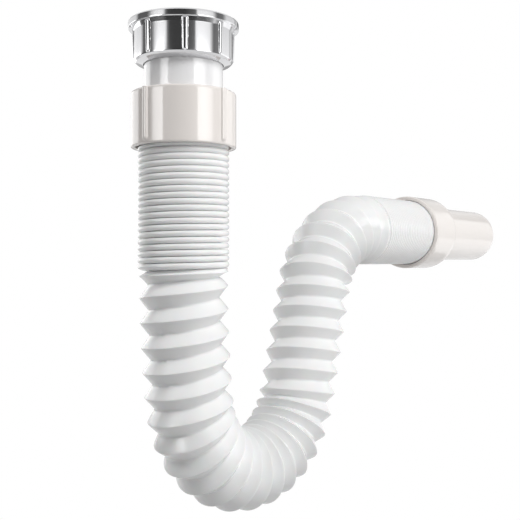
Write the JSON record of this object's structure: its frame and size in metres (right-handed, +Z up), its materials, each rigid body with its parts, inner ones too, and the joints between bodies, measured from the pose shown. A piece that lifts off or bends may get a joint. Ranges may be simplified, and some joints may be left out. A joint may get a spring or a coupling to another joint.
{
  "type": "basin trap",
  "caption": "Flexible basin trap: ribbed chrome union nut, telescopic tailpiece with slip nut, spiral bellows hose bent to a water seal, and a plain spigot outlet.",
  "frame": {"origin": "centre of the basin waste's seat on the union washer, on the inlet axis", "axes": "+Z up along the inlet axis, +X along the outlet spigot, out of its free end"},
  "size_m": [0.3784, 0.056, 0.2588],
  "materials": {
    "chromed_brass": "bright chrome plate on turned brass",
    "seal_rubber": "moulded black rubber",
    "white_gloss": "glossy extruded and moulded polypropylene",
    "ivory_gloss": "glossy injection-moulded polypropylene",
    "hose_white": "satin blow-moulded polypropylene"
  },
  "bodies": {
    "inlet": {"inlet_tailpiece": "white_gloss", "union_washer": "seal_rubber"},
    "union_nut": {"union_nut": "chromed_brass"},
    "socket": {"inlet_socket": "ivory_gloss", "cone_seal": "seal_rubber"},
    "thrust": {"thrust_washer": "white_gloss"},
    "slip_nut": {"slip_nut": "ivory_gloss"},
    "hose": {"hose": "hose_white"},
    "outlet": {"outlet_adapter": "ivory_gloss"}
  },
  "joints": [
    {"name": "union_nut_turn", "type": "hinge", "parent": "inlet", "child": "union_nut", "pos_m": [0, 0, 0], "axis": [0, 0, 1], "continuous": true},
    {"name": "tail_telescope", "type": "slide", "parent": "inlet", "child": "socket", "axis": [0, 0, -1], "range_m": [0, 0.009]},
    {"name": "thrust_travel", "type": "slide", "parent": "socket", "child": "thrust", "axis": [0, 0, 1], "range_m": [0, 0.009]},
    {"name": "slip_nut_turn", "type": "hinge", "parent": "thrust", "child": "slip_nut", "pos_m": [0, 0, -0.0384], "axis": [0, 0, 1], "range_deg": [0, 1080]},
    {"name": "inlet_stretch", "type": "slide", "parent": "socket", "child": "hose", "axis": [0, 0, -1], "range_m": [0, 0.12], "deforming": ["hose"]},
    {"name": "outlet_stretch", "type": "slide", "parent": "hose", "child": "outlet", "axis": [1, 0, 0], "range_m": [0, 0.15], "deforming": ["hose"]}
  ],
  "couplings": [
    {"joint": "thrust_travel", "follows": "slip_nut_turn", "m_per_rad": 0.00047746}
  ]
}
